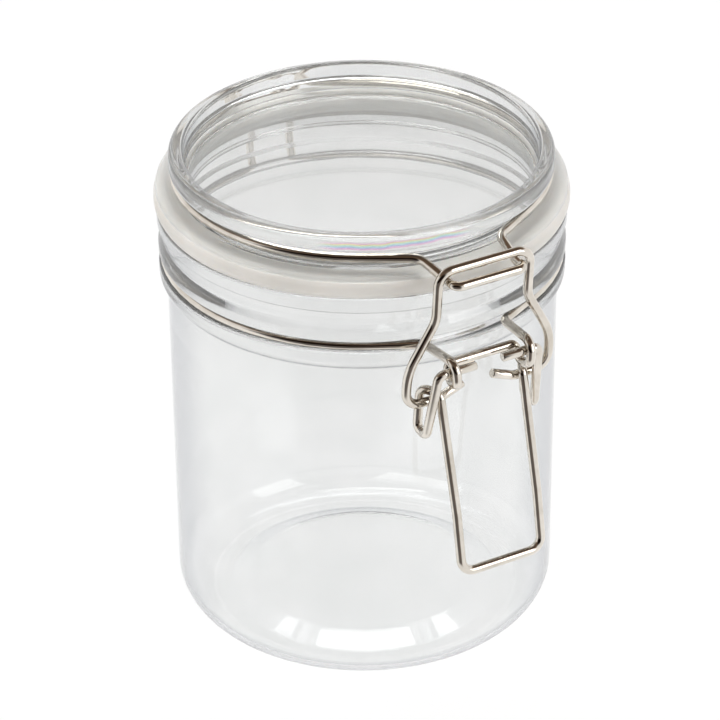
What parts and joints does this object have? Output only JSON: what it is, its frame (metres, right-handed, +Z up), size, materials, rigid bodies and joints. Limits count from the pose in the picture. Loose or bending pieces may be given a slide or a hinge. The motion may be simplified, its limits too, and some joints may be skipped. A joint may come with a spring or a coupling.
{
  "type": "clip-top storage jar",
  "caption": "Clear round plastic storage jar with a hinged lid, a silicone gasket and a bent-wire lever clamp that pulls the lid shut.",
  "frame": {"origin": "centre of the foot, on the surface that the jar stands on", "axes": "+Z is up, the wire clamp faces -Y and the lid's hinge is at +Y"},
  "size_m": [0.097, 0.1211, 0.121],
  "materials": {
    "jar_plastic": "clear, polished",
    "lid_plastic": "clear, polished",
    "gasket_silicone": "translucent off-white, satin",
    "wire": "bright nickel-plated steel"
  },
  "bodies": {
    "jar": {"jar_body": "jar_plastic", "neck_wire": "wire"},
    "lid": {"lid": "lid_plastic", "gasket": "gasket_silicone", "lid_wire": "wire"},
    "lever": {"lever": "wire"},
    "bail": {"bail": "wire"}
  },
  "joints": [
    {"name": "lid_hinge", "type": "hinge", "parent": "jar", "child": "lid", "pos_m": [0, 0.052, 0.1092], "axis": [-1, 0, 0], "range_deg": [0, 120]},
    {"name": "lever_swing", "type": "hinge", "parent": "jar", "child": "lever", "pos_m": [0, -0.0576, 0.0923], "axis": [-1, 0, 0], "range_deg": [0, 100]},
    {"name": "bail_swing", "type": "hinge", "parent": "lever", "child": "bail", "pos_m": [0, -0.0526, 0.0831], "axis": [1, 0, 0], "range_deg": [0, 140]}
  ],
  "couplings": [
    {"joint": "bail_swing", "follows": "lever_swing", "ratio": 1.4}
  ]
}
